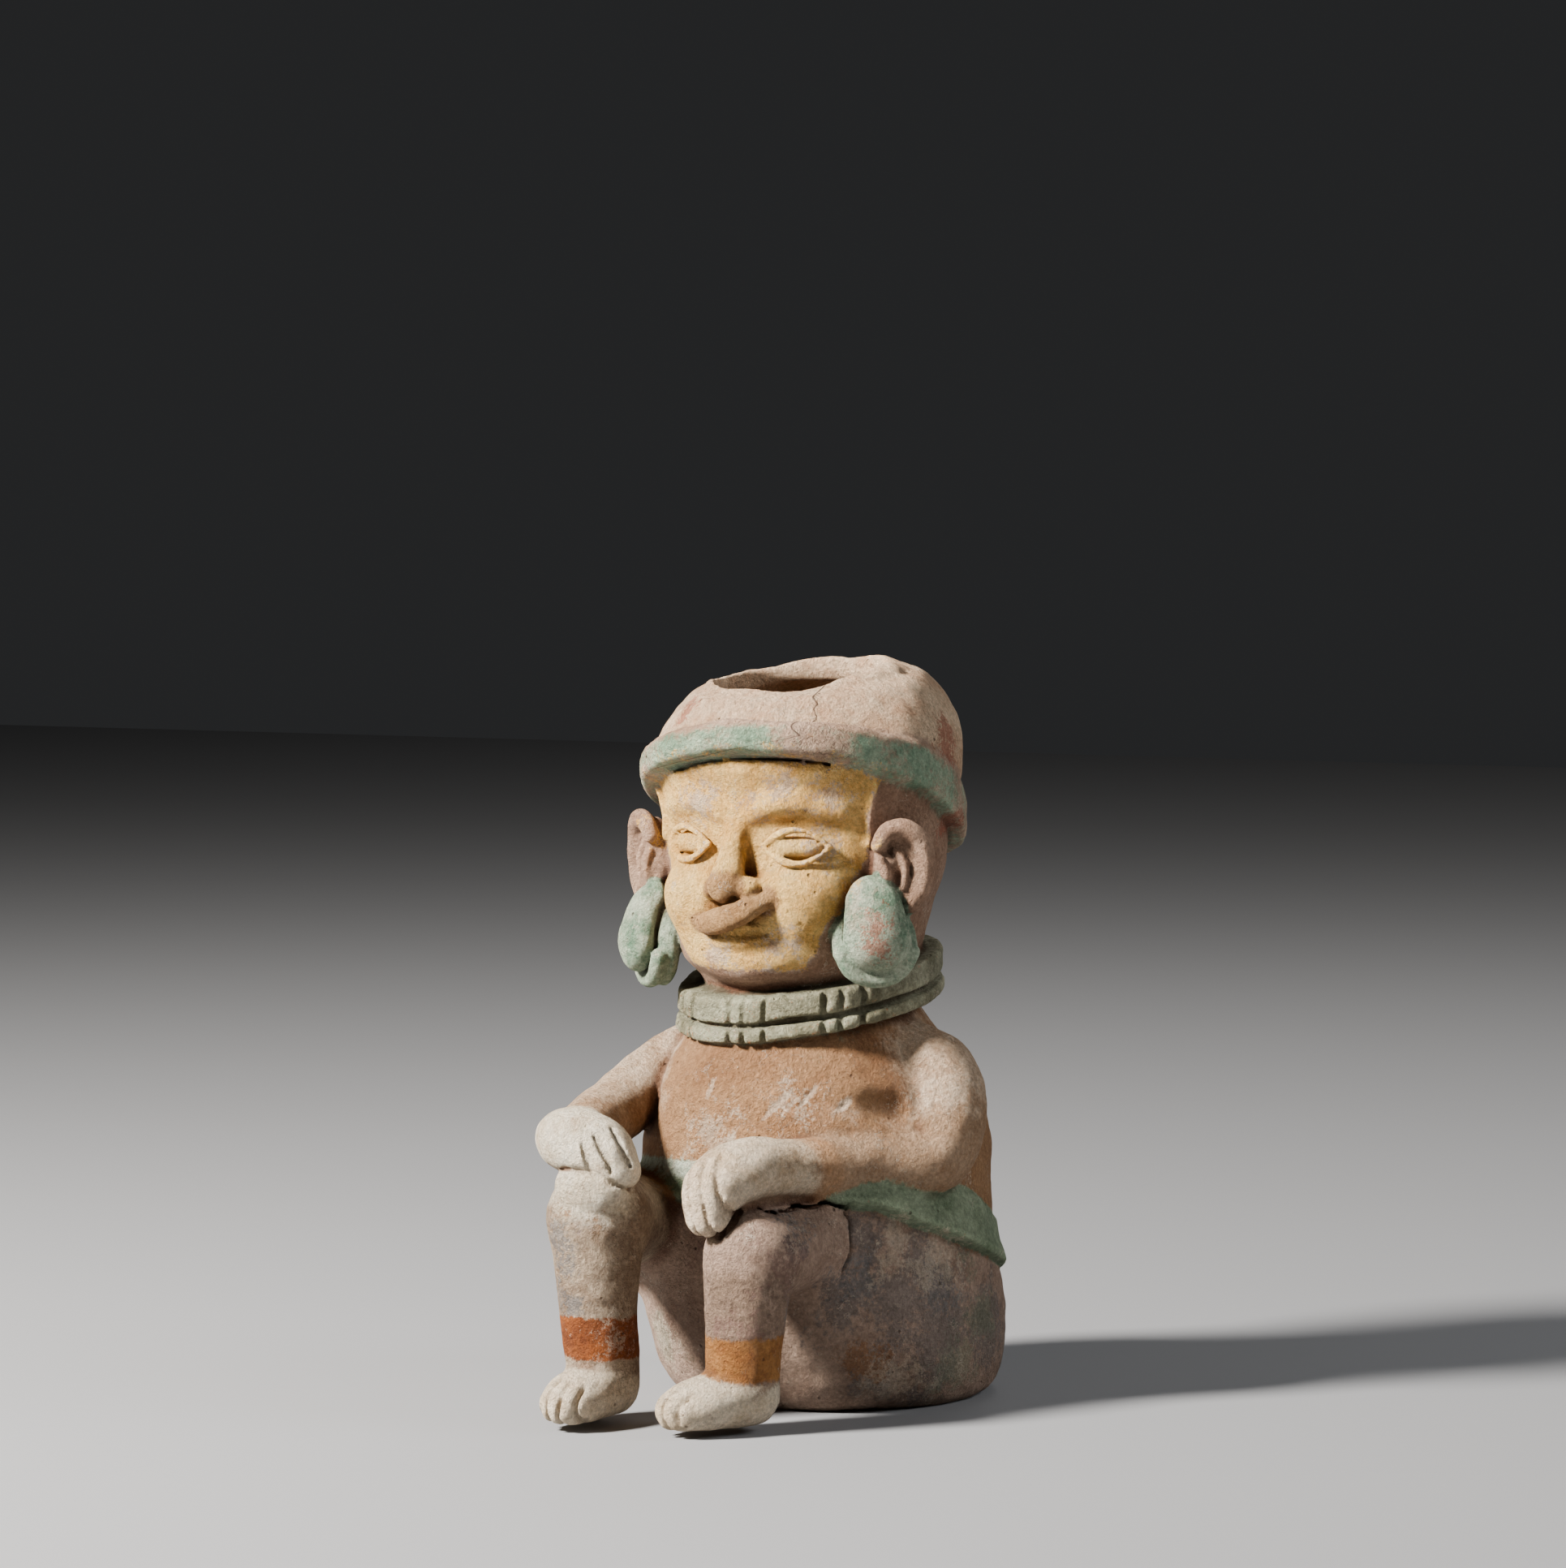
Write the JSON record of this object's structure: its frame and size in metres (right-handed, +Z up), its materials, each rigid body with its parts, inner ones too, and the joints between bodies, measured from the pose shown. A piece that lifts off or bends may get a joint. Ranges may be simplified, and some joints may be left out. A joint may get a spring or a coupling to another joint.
{
  "type": "anthropomorphic vase",
  "caption": "Hollow fired-clay vessel shaped as a seated figure in a brimmed cap, hands on its knees, open at the crown and resting on a flat round underside.",
  "frame": {"origin": "middle of the flat underside, on the surface the vessel stands on", "axes": "+Z up, the figure faces -Y, its left side is +X"},
  "size_m": [0.1231, 0.1744, 0.2326],
  "materials": {
    "fired_clay": "matt low-fired clay with worn slip paint and soot"
  },
  "bodies": {
    "root": {"seated_figure_vessel": "fired_clay"}
  },
  "joints": []
}
